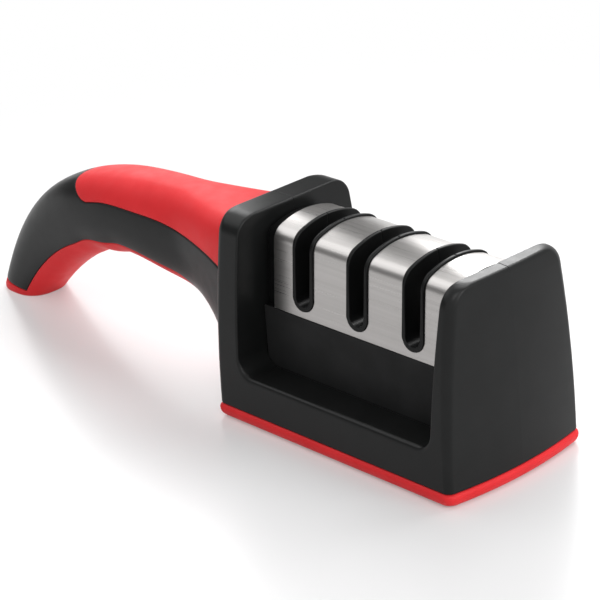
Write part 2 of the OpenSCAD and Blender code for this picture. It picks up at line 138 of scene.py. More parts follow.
def prism(name, outline, axis, low, high):
    """A filled outline pushed out along Y or Z."""
    bpy.ops.object.select_all(action="DESELECT")
    bpy.ops.mesh.primitive_circle_add(vertices=len(outline), radius=1, fill_type="NGON")
    piece = bpy.context.object
    piece.name = name
    for vertex, (p, q) in zip(piece.data.vertices, outline):
        vertex.co = Vector((p, low, q) if axis == "Y" else (p, q, low)) * mm
    push = (high - low) * mm
    bpy.ops.object.mode_set(mode="EDIT")
    bpy.ops.mesh.select_all(action="SELECT")
    bpy.ops.mesh.extrude_region_move(
        TRANSFORM_OT_translate={"value": (0, push, 0) if axis == "Y" else (0, 0, push)}
    )
    bpy.ops.mesh.select_all(action="SELECT")
    bpy.ops.mesh.normals_make_consistent(inside=False)
    bpy.ops.object.mode_set(mode="OBJECT")
    return piece


def block(name, low, high):
    corners = [(low[0], low[1]), (high[0], low[1]), (high[0], high[1]), (low[0], high[1])]
    return prism(name, corners, "Z", low[2], high[2])


def hole_outline(x, y, diameter):
    return arc(x, y, diameter / 2, 0, 345, 23)


def drill(x, z, diameter, y0, y1):
    return prism("drill", hole_outline(x, z, diameter), "Y", y0, y1)


def combine(piece, tool, operation="DIFFERENCE"):
    """Cuts the tool out of the piece, or joins it on, and clears the tool away."""
    make_active(piece)
    step = piece.modifiers.new("step", "BOOLEAN")
    step.object = tool
    step.operation = operation
    step.solver = "EXACT"
    bpy.ops.object.modifier_apply(modifier=step.name)
    bpy.data.objects.remove(tool)


def even_shading(piece, angle=32):
    make_active(piece)
    bpy.ops.object.shade_smooth_by_angle(angle=radians(angle))
    weighted = piece.modifiers.new("weighted", "WEIGHTED_NORMAL")
    weighted.keep_sharp = True
    bpy.ops.object.modifier_apply(modifier=weighted.name)


def soften(piece, widest, share, segments=3):
    """Rounds the sharp edges, and closes the gaps that this can leave where roundings meet.
    share(middle) gives the edge with that middle its part of the widest radius."""
    sharp = radians(28)
    mesh = bmesh.new()
    mesh.from_mesh(piece.data)
    weight = mesh.edges.layers.float.new("bevel_weight_edge")
    for edge in mesh.edges:
        if len(edge.link_faces) == 2 and edge.calc_face_angle() > sharp:
            edge[weight] = share((edge.verts[0].co + edge.verts[1].co) / (2 * mm))
    mesh.to_mesh(piece.data)
    mesh.free()
    make_active(piece)
    rounding = piece.modifiers.new("rounding", "BEVEL")
    rounding.limit_method = "WEIGHT"
    rounding.width = widest * mm
    rounding.segments = segments
    rounding.use_clamp_overlap = False
    bpy.ops.object.modifier_apply(modifier=rounding.name)
    bpy.ops.object.mode_set(mode="EDIT")
    bpy.ops.mesh.select_all(action="SELECT")
    bpy.ops.mesh.fill_holes(sides=0)
    bpy.ops.object.mode_set(mode="OBJECT")
    even_shading(piece)


def add_node(material, kind, inputs=None, **settings):
    node = material.node_tree.nodes.new("ShaderNode" + kind)
    for name, value in settings.items():
        setattr(node, name, value)
    for name, value in (inputs or {}).items():
        if isinstance(value, bpy.types.NodeSocket):
            material.node_tree.links.new(value, node.inputs[name])
        else:
            node.inputs[name].default_value = value
    return node


def new_finish(name):
    material = bpy.data.materials.new(name)
    material.use_nodes = True
    return material, material.node_tree.nodes["Principled BSDF"]


def link(material, output, socket):
    material.node_tree.links.new(output, socket)


def shades(material, factor, dark, light):
    """A colour that wanders between two shades."""
    ramp = add_node(material, "ValToRGB", {"Fac": factor})
    ramp.color_ramp.elements[0].position = 0.35
    ramp.color_ramp.elements[0].color = dark + (1,)
    ramp.color_ramp.elements[1].position = 0.65
    ramp.color_ramp.elements[1].color = light + (1,)
    return ramp.outputs["Color"]


def spread(material, value, low, high):
    return add_node(material, "MapRange", {
        "Value": value, "From Min": 0.3, "From Max": 0.7, "To Min": low, "To Max": high,
    }).outputs["Result"]


def moulded_black(name, dark, light, rough, grain, gloss):
    """Moulded plastic: clouded black, a fine eroded grain, and faint rubbed patches in its gloss."""
    material, surface = new_finish(name)
    place = add_node(material, "TexCoord").outputs["Object"]
    cloud = add_node(material, "TexNoise", {"Vector": place, "Scale": 90, "Detail": 3}).outputs["Fac"]
    rubbed = add_node(material, "TexNoise", {"Vector": place, "Scale": 320, "Detail": 5}).outputs["Fac"]
    eroded = add_node(material, "TexNoise", {"Vector": place, "Scale": 3600, "Detail": 2}).outputs["Fac"]
    bump = add_node(material, "Bump", {"Strength": grain, "Distance": 0.00006, "Height": eroded})
    link(material, shades(material, cloud, dark, light), surface.inputs["Base Color"])
    link(material, spread(material, rubbed, rough[0], rough[1]), surface.inputs["Roughness"])
    link(material, bump.outputs["Normal"], surface.inputs["Normal"])
    surface.inputs["Specular IOR Level"].default_value = gloss
    return material


satin_black = moulded_black(
    "satin_black", (0.0075, 0.0079, 0.0079), (0.0095, 0.0099, 0.0099),
    rough=(0.3, 0.36), grain=0.12, gloss=0.19,
)


def crown_turn(z):
    return asin(min(1, (z - crown_centre) / crown_radius))


def head_slice(z):
    """Half depth, corner radius and inset of the head's plan at a height, up and over the crown."""
    half = head_half_depth(min(z, crown_start))
    inset = 0
    if z > crown_start:
        half -= crown_radius * (cos(face_lean) - cos(crown_turn(z)))
        above = max(0, z - (head_height - top_edge))
        inset = top_edge - sqrt(max(0, top_edge**2 - above**2))
    corner = foot_corner + corner_growth * (z - pad_height) / (head_height - pad_height)
    return half, corner, inset


def face_turn(z):
    """How far the front face leans back at a height."""
    if z > crown_start:
        return crown_turn(z)
    return atan(2 * face_run_in * (z - pad_height) / (crown_centre - pad_height) ** 2)


def front_path(z, end):
    """The skin at a height, from the middle of the front face round one corner to the middle plane."""
    half, corner, inset = head_slice(z)
    x = head_half_length - inset - corner
    y = half - inset - corner
    path = [(x * i / 10, -y - corner) for i in range(10)]
    path += arc(x, -y, corner, -90, 0, 24)
    path += [(x + corner, -y * (1 - i / 24)) for i in range(1, 25)]
    if end > 0:
        bow = free_end_bow - bow_lost_at_top * ((z - pad_height) / (head_height - pad_height)) ** 2
        path = [(px + bow * (1 - (py / half) ** 2) * min(1, px / x), py) for px, py in path]
    points = [Vector((end * px, py, z)) for px, py in path]
    runs = [0]
    for a, b in zip(points, points[1:]):
        runs.append(runs[-1] + (b - a).length)
    return points, runs


def along_path(path, run):
    points, runs = path
    for i in range(len(runs) - 1):
        if run <= runs[i + 1]:
            break
    return points[i].lerp(points[i + 1], (run - runs[i]) / (runs[i + 1] - runs[i]))


def run_to(path, x):
    """Distance along the skin at which it gets out to x."""
    points, runs = path
    for i in range(len(runs) - 1):
        if abs(points[i + 1].x) >= x:
            break
    near = abs(points[i].x)
    far = abs(points[i + 1].x)
    return runs[i] + (x - near) / (far - near) * (runs[i + 1] - runs[i])


# Points in a row of the skin, over the end, round the corner and over the face
end_points = 7
corner_points = 8
face_points = 6
skin_points = end_points + corner_points + face_points


def skin_row(end, outer_z, edge_x, edge_z):
    """A row of the skin from the middle plane round the corner to the window's rounding."""
    least_flat = 1.6
    least_turn = 2.4
    half, corner, inset = head_slice(outer_z)
    path = front_path(outer_z, end)
    edge_run = run_to(front_path(edge_z, end), edge_x)
    corner_run = max(head_half_length - inset - corner, edge_run + least_flat)
    turned_run = max(head_half_length - inset - corner + corner * pi / 2, corner_run + least_turn)
    last = path[1][-1]
    row = [along_path(path, last + (turned_run - last) * k / end_points) for k in range(end_points)]
    for k in range(corner_points):
        row.append(along_path(path, turned_run + (corner_run - turned_run) * k / corner_points))
    steps = face_points - 1
    for k in range(face_points):
        z = outer_z + (edge_z - outer_z) * k / steps
        row.append(along_path(front_path(z, end), corner_run + (edge_run - corner_run) * k / steps))
    return row


def rounded(a, corner, b, n=6):
    """Points of a soft edge from just after a to b."""
    steps = [i / n for i in range(1, n + 1)]
    return [a * (1 - t) ** 2 + corner * 2 * t * (1 - t) + b * t * t for t in steps]


def window_x(end, z):
    """How far out the window's upright edge is at a height. The one at the free end flares."""
    if end < 0:
        return window_left
    return window_right + window_flare * (z - window_low) / (head_height - window_low)


def corner_middle(end):
    """Centre of the round corner at that end of the window."""
    return (window_left if end < 0 else window_right) - window_corner


def fall_outward(p):
    """The top of the free end wall falls a little from the window to the end."""
    slope = 0.06
    level_x = 45
    slope_start = 50
    slope_full = 59
    near_top = ease((p.z - slope_start) / (slope_full - slope_start))
    return p + Vector((0, 0, slope * (level_x - p.x) * near_top))


def wall_rows(end):
    """Rows of an end wall from the ledge's corner up to the crown: skin, rounding and inner edge."""
    rows = []
    middle = corner_middle(end)
    steps = 12
    for k in range(steps + 1):
        turn = radians(90 - 90 * k / steps)
        soft = soft_edge + softer_ledge * sin(turn) ** 2
        outer = window_corner + soft
        z = window_low - window_corner * sin(turn)
        outer_z = face_top + (window_low - face_top) * k / steps
        row = skin_row(end, outer_z, middle + outer * cos(turn), window_low - outer * sin(turn))
        path = front_path(z, end)
        corner = along_path(path, run_to(path, middle + window_corner * cos(turn)))
        rows.append(row + rounded(row[-1], corner, corner + Vector((0, soft, 0))))
    crown_turns = [face_lean + (pi / 2 - face_lean) * k / steps for k in range(1, steps + 1)]
    heights = [27, 34, 41, 48, crown_start] + [crown_centre + crown_radius * sin(a) for a in crown_turns]
    for z in heights:
        turn = face_turn(z)
        row = skin_row(end, z, window_x(end, z) + soft_edge, z)
        path = front_path(z, end)
        corner = along_path(path, run_to(path, window_x(end, z)))
        inner = corner + Vector((0, cos(turn), -sin(turn))) * soft_edge
        inner.x = end * window_x(end, inner.z)
        rows.append(row + rounded(row[-1], corner, inner))
    tip = rows[-1][0].x
    reach = end * (window_x(end, head_height) + soft_edge) - tip
    shares = [(k / (skin_points - 1)) ** 1.6 for k in range(skin_points)]
    top = [Vector((tip + reach * part, 0, head_height)) for part in shares]
    corner = Vector((end * window_x(end, head_height), 0, head_height))
    inner = Vector((end * window_x(end, head_height - soft_edge), 0, head_height - soft_edge))
    rows.append(top + rounded(top[-1], corner, inner))
    if end > 0:
        rows = [[fall_outward(p) for p in row] for row in rows]
    return rows


def open_shell(name):
    """The front half of the head as a closed skin: end walls, face below the window, ledge and inside."""
    left = wall_rows(-1)
    right = wall_rows(1)
    foot = []
    for z in (pad_height, (pad_height + face_top) / 2):
        left_foot = skin_row(-1, z, corner_middle(-1), z)
        foot.append(left_foot + skin_row(1, z, corner_middle(1), z)[::-1])
    last = skin_points - 1
    foot.append(left[0][:skin_points] + right[0][last::-1])
    ledge = [left[0][last:], right[0][last:]]
    inner = [row[-1] for row in reversed(left)] + [row[-1] for row in right]
    inside = [[p, Vector((p.x, 0, p.z))] for p in inner]
    sheets = [lay_sheet("sheet", rows) for rows in (left, right, foot, ledge, inside)]
    make_active(sheets[0])
    for sheet in sheets:
        sheet.select_set(True)
    bpy.ops.object.join()
    shell = bpy.context.object
    shell.name = name
    bpy.ops.object.mode_set(mode="EDIT")
    bpy.ops.mesh.select_mode(type="EDGE")
    bpy.ops.mesh.select_all(action="SELECT")
    bpy.ops.mesh.remove_doubles(threshold=0.002 * mm)
    for at_foot in (True, False):
        bpy.ops.mesh.select_all(action="DESELECT")
        mesh = bmesh.from_edit_mesh(shell.data)
        for edge in mesh.edges:
            low = all(abs(v.co.z - pad_height * mm) < 0.01 * mm for v in edge.verts)
            if edge.is_boundary and (low or not at_foot):
                edge.select_set(True)
        bmesh.update_edit_mesh(shell.data)
        bpy.ops.mesh.edge_face_add()
    bpy.ops.mesh.select_mode(type="VERT")
    bpy.ops.mesh.select_all(action="SELECT")
    bpy.ops.mesh.normals_make_consistent(inside=False)
    bpy.ops.object.mode_set(mode="OBJECT")
    return shell


def housing_edge(middle):
    """Rounding of the edges that are still sharp: a fine parting line, and broken edges round the bay."""
    x, y, z = middle
    in_window = -36 < x < 40.5 and z > 14
    at_bay = abs(z - ledge_height) < 0.1 and abs(abs(y) - bay_half_depth) < 0.1
    if abs(y) < 0.01:
        return 0.5 if z > head_height - top_edge else 0.25 if in_window else 0
    if z < pad_height + 0.05:
        return 1 if abs(y) > 24 or abs(x) > 43 else 0
    return 1 if at_bay else 0


def mirrored_copy(piece, name):
    """A copy on the other side of the middle plane, with its own mesh."""
    make_active(piece)
    bpy.ops.object.duplicate(linked=False)
    copy = bpy.context.object
    copy.name = name
    bpy.ops.object.mode_set(mode="EDIT")
    bpy.ops.mesh.select_all(action="SELECT")
    bpy.ops.transform.mirror(constraint_axis=(False, True, False), center_override=(0, 0, 0))
    bpy.ops.mesh.normals_make_consistent(inside=False)
    bpy.ops.object.mode_set(mode="OBJECT")
    even_shading(copy)
    return copy


shell_front = open_shell("shell_front")
bay_low = (-window_left, -bay_half_depth, 6.9)
bay_high = (window_right, bay_half_depth, 40)
neck_low = (-head_half_length - fit, -tenon_half_width - fit, tenon_low - fit)
neck_high = (wall_middle, tenon_half_width + fit, tenon_high + fit)
socket_low = (flange_left - fit, -flange_half_width - fit, flange_low - fit)
socket_high = (flange_right + fit, flange_half_width + fit, flange_high + fit)
plate_outline = head_outline(foot_half_depth, plate_corner, plate_wall)
combine(shell_front, block("bay", bay_low, bay_high))
combine(shell_front, prism("plate_recess", plate_outline, "Z", 1, 7))
combine(shell_front, block("socket_neck", neck_low, neck_high))
combine(shell_front, block("socket_flange", socket_low, socket_high))
for x in housing_pin_places:
    for z in housing_pin_heights:
        combine(shell_front, drill(x, z, pin_hole, -pin_hole_reach, pin_hole_reach))
for z in tenon_pin_heights:
    combine(shell_front, drill(wall_middle, z, tenon_pin_hole, -16.1, 16.1))
for x in base_screw_places:
    screw_outline = hole_outline(x, -base_screw_out, base_screw_hole)
    combine(shell_front, prism("screw_hole", screw_outline, "Z", pad_height, 12.3))
soften(shell_front, 0.4, housing_edge, 3)
shell_rear = mirrored_copy(shell_front, "shell_rear")
for shell, node_name in ((shell_front, "housing_front"), (shell_rear, "housing_rear")):
    shell.data.materials.clear()
    shell.data.materials.append(satin_black)
    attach(shell, "stand")
    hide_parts(node_name)


# Pins and screws: bright steel dowels that line up the halves and lock the tenon, and the screws of the base
# and the cartridge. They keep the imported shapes, and none can be seen once everything is closed.
def drawn_steel(name, colour, rough):
    """Plain steel with fine marks from drawing or turning."""
    material, surface = new_finish(name)
    place = add_node(material, "TexCoord").outputs["Object"]
    marks = add_node(material, "TexNoise", {"Vector": place, "Scale": 2400, "Detail": 4}).outputs["Fac"]
    tint = add_node(material, "TexNoise", {"Vector": place, "Scale": 220, "Detail": 2}).outputs["Fac"]
    bump = add_node(material, "Bump", {"Strength": 0.12, "Distance": 0.00003, "Height": marks})
    dark = tuple(c * 0.86 for c in colour)
    link(material, shades(material, tint, dark, colour), surface.inputs["Base Color"])
    link(material, spread(material, marks, rough - 0.06, rough + 0.08), surface.inputs["Roughness"])
    link(material, bump.outputs["Normal"], surface.inputs["Normal"])
    surface.inputs["Metallic"].default_value = 1
    return material


fastener_steel = drawn_steel("fastener_steel", (0.5, 0.5, 0.51), 0.3)
for node_name in ("housing_pins", "tenon_pins", "base_screws", "cartridge_pins", "cartridge_screws"):
    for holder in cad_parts[node_name].material_slots:
        holder.material = fastener_steel


# Handle core: the arched black handle, moulded in the same satin plastic. A tenon on its root is caught
# between the housing halves and crossed by two pins, and long pockets above and below take the soft grips.
# Places along the handle are shares of its run, from 0 at the head to 1 at the table.
handle_top = ((0, 54), (56.16, 52), (100.8, 60), (124.8, 0))
handle_flare = ((0, 8.9), (8.8, 15.9), (21, 26.4), (55, 26.4))
handle_heel = ((55, 26.4), (74, 26.4), (90.8, 15), (105.8, 0))
arch_u = 0.42
handle_run = 165
handle_half_width = 12
root_spread = 7.8
top_narrowing = 1.8
foot_taper = 3.5
waves_start = 0.18
waves_run = 0.48
wave_count = 3
wave_depth = 0.9
tongue_angle = 70
tongue_spread = 15
tongue_end = 0.49
tongue_tip = 0.058
tongue_stop = 0.5479
under_start = 0.0995
under_angle = 57
sole_spread = 11
sole_start = 0.98
grip_depth = 2
pocket_depth = 2.06
# Degrees from the edge of a grip, and how far the surface has rolled in there
rolled_edge = ((0, 0.3), (0.5, 0.12), (1.1, 0.035), (2, 0))


def bezier(points, t):
    s = 1 - t
    weights = (s**3, 3 * s * s * t, 3 * s * t * t, t**3)
    return Vector([sum(w * p for w, p in zip(weights, axis)) for axis in zip(*points)])


def spread_at_head(u):
    """How far the handle has opened out towards the head, fading away over its first fifth."""
    rest = 1 - u / 0.22
    return ((rest + sqrt(rest * rest + 0.02)) / 2) ** 1.2


def towards_foot(u):
    return ease((u - arch_u) / (1 - arch_u))


def signed_power(value, n):
    return (1 if value >= 0 else -1) * abs(value) ** n


def plain_underside(u):
    if u < arch_u:
        return bezier(handle_flare, u / arch_u)
    return bezier(handle_heel, (u - arch_u) / (1 - arch_u))


def finger_wave(u):
    t = (u - waves_start) / waves_run
    return wave_depth / 2 * (1 - cos(2 * wave_count * pi * t)) if 0 < t < 1 else 0


def handle_point(u, angle, inset):
    """A point of the handle's section at u, at an angle from its top, set in from the surface."""
    top = bezier(handle_top, u)
    under = plain_underside(u)
    lift = (top - under).normalized()
    under += lift * finger_wave(u)
    flare = spread_at_head(u)
    bend = 2 / (2.5 + 2.5 * flare)
    rise = signed_power(cos(radians(angle)), bend)
    half_width = handle_half_width + root_spread * flare - foot_taper * towards_foot(u)
    p = (top + under) / 2 + lift * ((top - under).length / 2 - inset) * rise
    y = -(half_width - top_narrowing * flare * rise - inset) * signed_power(sin(radians(angle)), bend)
    return (-head_half_length - p[0], y, p[1])


def top_reach(u):
    """Half angle of the top grip, which ends in a rounded tip."""
    t = min(0.998, max(0, (u - tongue_end) / tongue_tip))
    return (tongue_angle + tongue_spread * spread_at_head(u)) * sqrt(1 - t * t)


def under_reach(u):
    """Half angle of the grip under the handle, which starts in a point and widens to the foot."""
    return max(1.2, under_angle * ease((u - 0.1) / 0.18) + sole_spread * towards_foot(u))


def span(a0, a1, n):
    return [a0 + (a1 - a0) * i / n for i in range(n + 1)]


def roll_in(distance):
    """How far a rolled edge lies in at a distance, in millimetres, from a joint across the handle."""
    return 0.3 * max(0, 1 - distance / 0.7) ** 2


def core_side(a0, a1, top_on, under_on):
    """Angles and insets of one black side, rolled in where it meets a grip."""
    start = [(a0 + d, s * top_on) for d, s in rolled_edge]
    end = [(a1 - d, s * under_on) for d, s in reversed(rolled_edge)]
    middle = [(a, 0) for a in span(a0 + 2, a1 - 2, 22)[1:-1]]
    return start + middle + end


def core_ring(u):
    """Black section at u: floor of the top pocket, one side, floor of the lower pocket, the other side."""
    top_on = 1 if u < tongue_stop else 0
    under_on = 1 if u > under_start else 0
    t = top_reach(u)
    b = under_reach(u)
    cap = roll_in((sole_start - u) * handle_run)
    profile = [(a, pocket_depth * top_on) for a in span(-t, t, 28)]
    profile += core_side(t + 0.25, 179.75 - b, top_on, under_on)
    profile += [(a, pocket_depth * under_on) for a in span(180 - b, 180 + b, 28)]
    profile += [(360 - a, s) for a, s in reversed(core_side(t + 0.25, 179.75 - b, top_on, under_on))]
    return [handle_point(u, a, max(s, cap)) for a, s in profile]


def roll_sheet(name, rings):
    """A sheet is laid on closed rings, then its seam is merged and both its ends are filled."""
    piece = lay_sheet(name, [ring + ring[:1] for ring in rings])
    bpy.ops.object.mode_set(mode="EDIT")
    bpy.ops.mesh.select_all(action="SELECT")
    bpy.ops.mesh.remove_doubles(threshold=0.0005 * mm)
    bpy.ops.mesh.fill_holes(sides=0)
    bpy.ops.mesh.normals_make_consistent(inside=False)
    bpy.ops.object.mode_set(mode="OBJECT")
    return piece


tip_stations = [tongue_end + tongue_tip * sin(pi / 2 * i / 16 * 0.96) for i in range(17)]
tongue_stations = span(0, under_start, 16) + span(0.1, 0.485, 62) + tip_stations
foot_stations = span(0.5485, 0.97, 66) + [0.9735, 0.9765, 0.979, sole_start]
handle = roll_sheet("handle", [core_ring(u) for u in tongue_stations + foot_stations])
neck_low = (-50, -tenon_half_width, tenon_low)
neck_high = (wall_middle, tenon_half_width, tenon_high)
flange_from = (flange_left, -flange_half_width, flange_low)
flange_to = (flange_right, flange_half_width, flange_high)
combine(handle, block("tenon_neck", neck_low, neck_high), "UNION")
combine(handle, block("tenon_flange", flange_from, flange_to), "UNION")
for z in tenon_pin_heights:
    combine(handle, drill(wall_middle, z, tenon_pin_hole, -20, 20))
even_shading(handle, 40)
handle.data.materials.clear()
handle.data.materials.append(satin_black)
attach(handle, "stand")
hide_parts("handle_core")


# Grips: soft red rubber moulded into the pockets of the handle. The upper one is a long tongue with a round
# end, and the lower one follows the fingers' waves and turns into the sole of the foot.
def soft_rubber(name, dark, light):
    """Soft moulded rubber: a dense matt skin with faint clouding and a fine grain."""
    material, surface = new_finish(name)
    place = add_node(material, "TexCoord").outputs["Object"]
    cloud = add_node(material, "TexNoise", {"Vector": place, "Scale": 70, "Detail": 3}).outputs["Fac"]
    handled = add_node(material, "TexNoise", {"Vector": place, "Scale": 260, "Detail": 5}).outputs["Fac"]
    skin = add_node(material, "TexNoise", {"Vector": place, "Scale": 2600, "Detail": 3}).outputs["Fac"]
    bump = add_node(material, "Bump", {"Strength": 0.2, "Distance": 0.00006, "Height": skin})
    link(material, shades(material, cloud, dark, light), surface.inputs["Base Color"])
    link(material, spread(material, handled, 0.44, 0.56), surface.inputs["Roughness"])
    link(material, bump.outputs["Normal"], surface.inputs["Normal"])
    surface.inputs["Specular IOR Level"].default_value = 0.22
    return material


soft_red = soft_rubber("soft_red", (0.75, 0.022, 0.027), (0.81, 0.027, 0.033))


def rolled_strip(centre, reach):
    """Angles and insets over a strip from edge to edge, rolled in at both."""
    tight = min(1, reach / 6)
    start = [(-reach + d * tight, s * min(1, reach / 3)) for d, s in rolled_edge]
    middle = [(a, 0) for a in span(-reach + 2 * tight, reach - 2 * tight, 30)[1:-1]]
    end = [(-a, s) for a, s in reversed(start)]
    return [(centre + a, s) for a, s in start + middle + end]


def top_grip_ring(u):
    reach = top_reach(u)
    tip = roll_in((tongue_stop - u) * handle_run)
    outer = [(a, max(s, tip)) for a, s in rolled_strip(0, reach)]
    inner = [(a, grip_depth) for a in span(reach, -reach, len(outer) - 1)]
    return [handle_point(u, a, s) for a, s in outer + inner]


top_stations = [0.0006] + tongue_stations[1:]
upper_grip = roll_sheet("upper_grip", [top_grip_ring(u) for u in top_stations])


sole_joint = 0.9812
sole_rolls_from = 0.992
sole_roll = 0.35


def under_grip_ring(u):
    """Red section at u: a strip in its pocket, and past the black core the whole sole."""
    reach = under_reach(u)
    sole_edge = sole_roll * max(0, (u - sole_rolls_from) / (1 - sole_rolls_from)) ** 2
    outer = [(a, max(s if u < sole_start else 0, sole_edge)) for a, s in rolled_strip(180, reach)]
    if u <= sole_start:
        inner = [(a, grip_depth) for a in span(180 + reach, 180 - reach, 61)]
    else:
        shut = max(sole_edge, roll_in((u - sole_joint) * handle_run))
        inner = [(a, shut) for a in span(180 + reach, 540 - reach, 63)[1:-1]]
    return [handle_point(u, a, s) for a, s in outer + inner]


under_stations = [u for u in tongue_stations if u > under_start] + foot_stations
under_stations += [0.9813, 0.983, 0.985, 0.988, 0.992, 0.995, 0.998, 1]
lower_grip = roll_sheet("lower_grip", [under_grip_ring(u) for u in under_stations])
for grip, node_name in ((upper_grip, "top_grip"), (lower_grip, "under_grip")):
    even_shading(grip, 40)
    grip.data.materials.clear()
    grip.data.materials.append(soft_red)
    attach(grip, "stand")
    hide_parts(node_name)


# Base: a moulded plate closes the head from below under four countersunk screws.
# The soft red pad is bonded over it and stands out past the head by half a millimetre, with rolled edges.
smooth_black = moulded_black(
    "smooth_black", (0.0045, 0.0046, 0.0047), (0.006, 0.0061, 0.0062),
    rough=(0.31, 0.36), grain=0.02, gloss=0.14,
)
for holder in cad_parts["base_plate"].material_slots:
    holder.material = smooth_black

pad_overhang = 0.5
pad_foot_roll = 2.5
pad_top_roll = 1.3
pad_rings = []
foot_turns = range(0, 91, 10)
for low, turns, roll in ((True, foot_turns, pad_foot_roll), (False, foot_turns[::-1], pad_top_roll)):
    for a in turns:
        inset = roll * (1 - sin(radians(a))) - pad_overhang
        rise = roll * (1 - cos(radians(a)))
        z = rise if low else pad_height - rise
        pad_rings.append([(x, y, z) for x, y in head_outline(foot_half_depth, plate_corner, inset)])
pad = roll_sheet("foot_pad", pad_rings)
even_shading(pad, 40)
pad.data.materials.clear()
pad.data.materials.append(soft_red)
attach(pad, "stand")
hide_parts("base_pad")


# Cartridge: the black carrier that lifts out of the stand, moulded in two halves and screwed from behind.
# Its smooth slot liners pass through the steel and end in a raised round rim, with a tick where the halves
# meet. Its outside, which shows through the windows, is grained.
carrier_left = -34.65
carrier_right = 37.45
carrier_low = 7.1
carrier_shoulder = 32.3
cover_left = -30.5
cover_right = 36.6
cover_half_depth = 14
cover_low = 32.4
cover_top = 57.3
cover_lean = radians(5)
crest_radius = 26
shoulder_radius = 4.6
slot_places = (-18.85, 1.75, 22.35)
slot_half_width = 2.7
slot_floor = 35.6
rim_half_width = 3.9
rim_floor = 34.4
rim_proud = 0.6
rims_from = 33
bed_inset = 0.75
ends_inset = 1.6
vee_angle = 20
vee_height = 41
stick_low = -8
stick_high = 11
plate_half_width = 2.3
plate_half_thickness = 1.2
rod_diameters = (4, 4.2)
carrier_screw_places = (-8.55, 12.05)
carrier_screw_height = 40
carrier_pin_places = (-24.5, 30.6)
carrier_pin_height = 19.75
# Each shoulder of the cover is an arc that touches the leaning side and the crest.
# Its centre is found along the side as the root of a quadratic
crest_centre = cover_top - crest_radius
shoulder_in = cover_half_depth - shoulder_radius * cos(cover_lean)
shoulder_up = cover_low - shoulder_radius * sin(cover_lean) - crest_centre
half_linear = shoulder_up * cos(cover_lean) - shoulder_in * sin(cover_lean)
constant_term = shoulder_in**2 + shoulder_up**2 - (crest_radius - shoulder_radius) ** 2
shoulder_run = sqrt(half_linear**2 - constant_term) - half_linear
shoulder_y = shoulder_in - shoulder_run * sin(cover_lean)
shoulder_z = shoulder_up + crest_centre + shoulder_run * cos(cover_lean)
shoulder_turn = atan2(shoulder_z - crest_centre, shoulder_y)
grained_black = moulded_black(
    "grained_black", (0.02, 0.0202, 0.0205), (0.025, 0.0252, 0.0255),
    rough=(0.42, 0.5), grain=0.1, gloss=0.05,
)


def half_cover(inset, low):
    """End view of half the cover, from its lower edge up to the crest, set in from its outer face."""
    degrees = 180 / pi
    lean = cover_lean * degrees
    turn = shoulder_turn * degrees
    line = [(cover_half_depth - inset / cos(cover_lean), low)]
    line += arc(shoulder_y, shoulder_z, shoulder_radius - inset, lean, turn, 16)
    line += arc(0, crest_centre, crest_radius - inset, turn, 90, 20)[1:-1]
    return line + [(0, crest_centre + crest_radius - inset)]


def out_of_cover(y, z):
    """Distance of a point in the end view from the cover's outer face."""
    y = abs(y)
    turn = atan2(z - shoulder_z, y - shoulder_y)
    if turn < cover_lean:
        return (y - cover_half_depth) * cos(cover_lean) + (z - cover_low) * sin(cover_lean)
    if turn > shoulder_turn:
        return hypot(y, z - crest_centre) - crest_radius
    return hypot(y - shoulder_y, z - shoulder_z) - shoulder_radius


def slot_cutter(name, x, half_width, floor_z):
    """A bar right through the cartridge with a slot's outline: a round floor, open well above the cover."""
    open_z = 80
    outline = arc(x, floor_z + half_width, half_width, 180, 360, 24)
    outline += [(x + half_width, open_z), (x - half_width, open_z)]
    return prism(name, outline, "Y", -30, 30)


def bar(name, line, x0, x1):
    """An end view drawn out along the head."""
    return roll_sheet(name, [[(x, y, z) for y, z in line] for x in (x0, x1)])


def half_bar(name, side, inset, x0, x1):
    """Half of the form under the cover, from the middle plane out to one side."""
    low = 28
    return bar(name, [(side * y, z) for y, z in half_cover(inset, low)] + [(0, low)], x0, x1)


def vee_place(x, side, out, y):
    """Where one side of a vee stands: turned about the crossing point, its working edge through it."""
    crossing = Matrix.Translation(Vector((x, y, vee_height)) * mm)
    turn = Matrix.Rotation(radians(-side * vee_angle), 4, "Y")
    return crossing @ turn @ Matrix.Translation(Vector((-side * out, 0, 0)) * mm)


def stand_in_vee(piece, x, side, out, y):
    piece.matrix_world = vee_place(x, side, out, y)
    make_active(piece)
    bpy.ops.object.transform_apply(location=True, rotation=True, scale=True)


def rim_edge(middle):
    """Rounding of the cartridge's edges: full on the slot rims, finer elsewhere."""
    x, y, z = middle
    out = out_of_cover(y, z)
    above_foot = z > carrier_low + 0.1
    if abs(y) < 0.01:
        in_slot = min(abs(x - place) for place in slot_places) < slot_half_width + 0.05
        return 1 if out > 0.3 else 0.5 if out > -1 or in_slot else 0
    if z > rims_from and out > 0.45:
        return 1
    if abs(abs(y) - cover_half_depth) < 0.01 and above_foot:
        return 0.7
    if x < carrier_left + 0.05 or x > carrier_right - 0.05:
        return 0.8 if above_foot else 0.5
    return 0


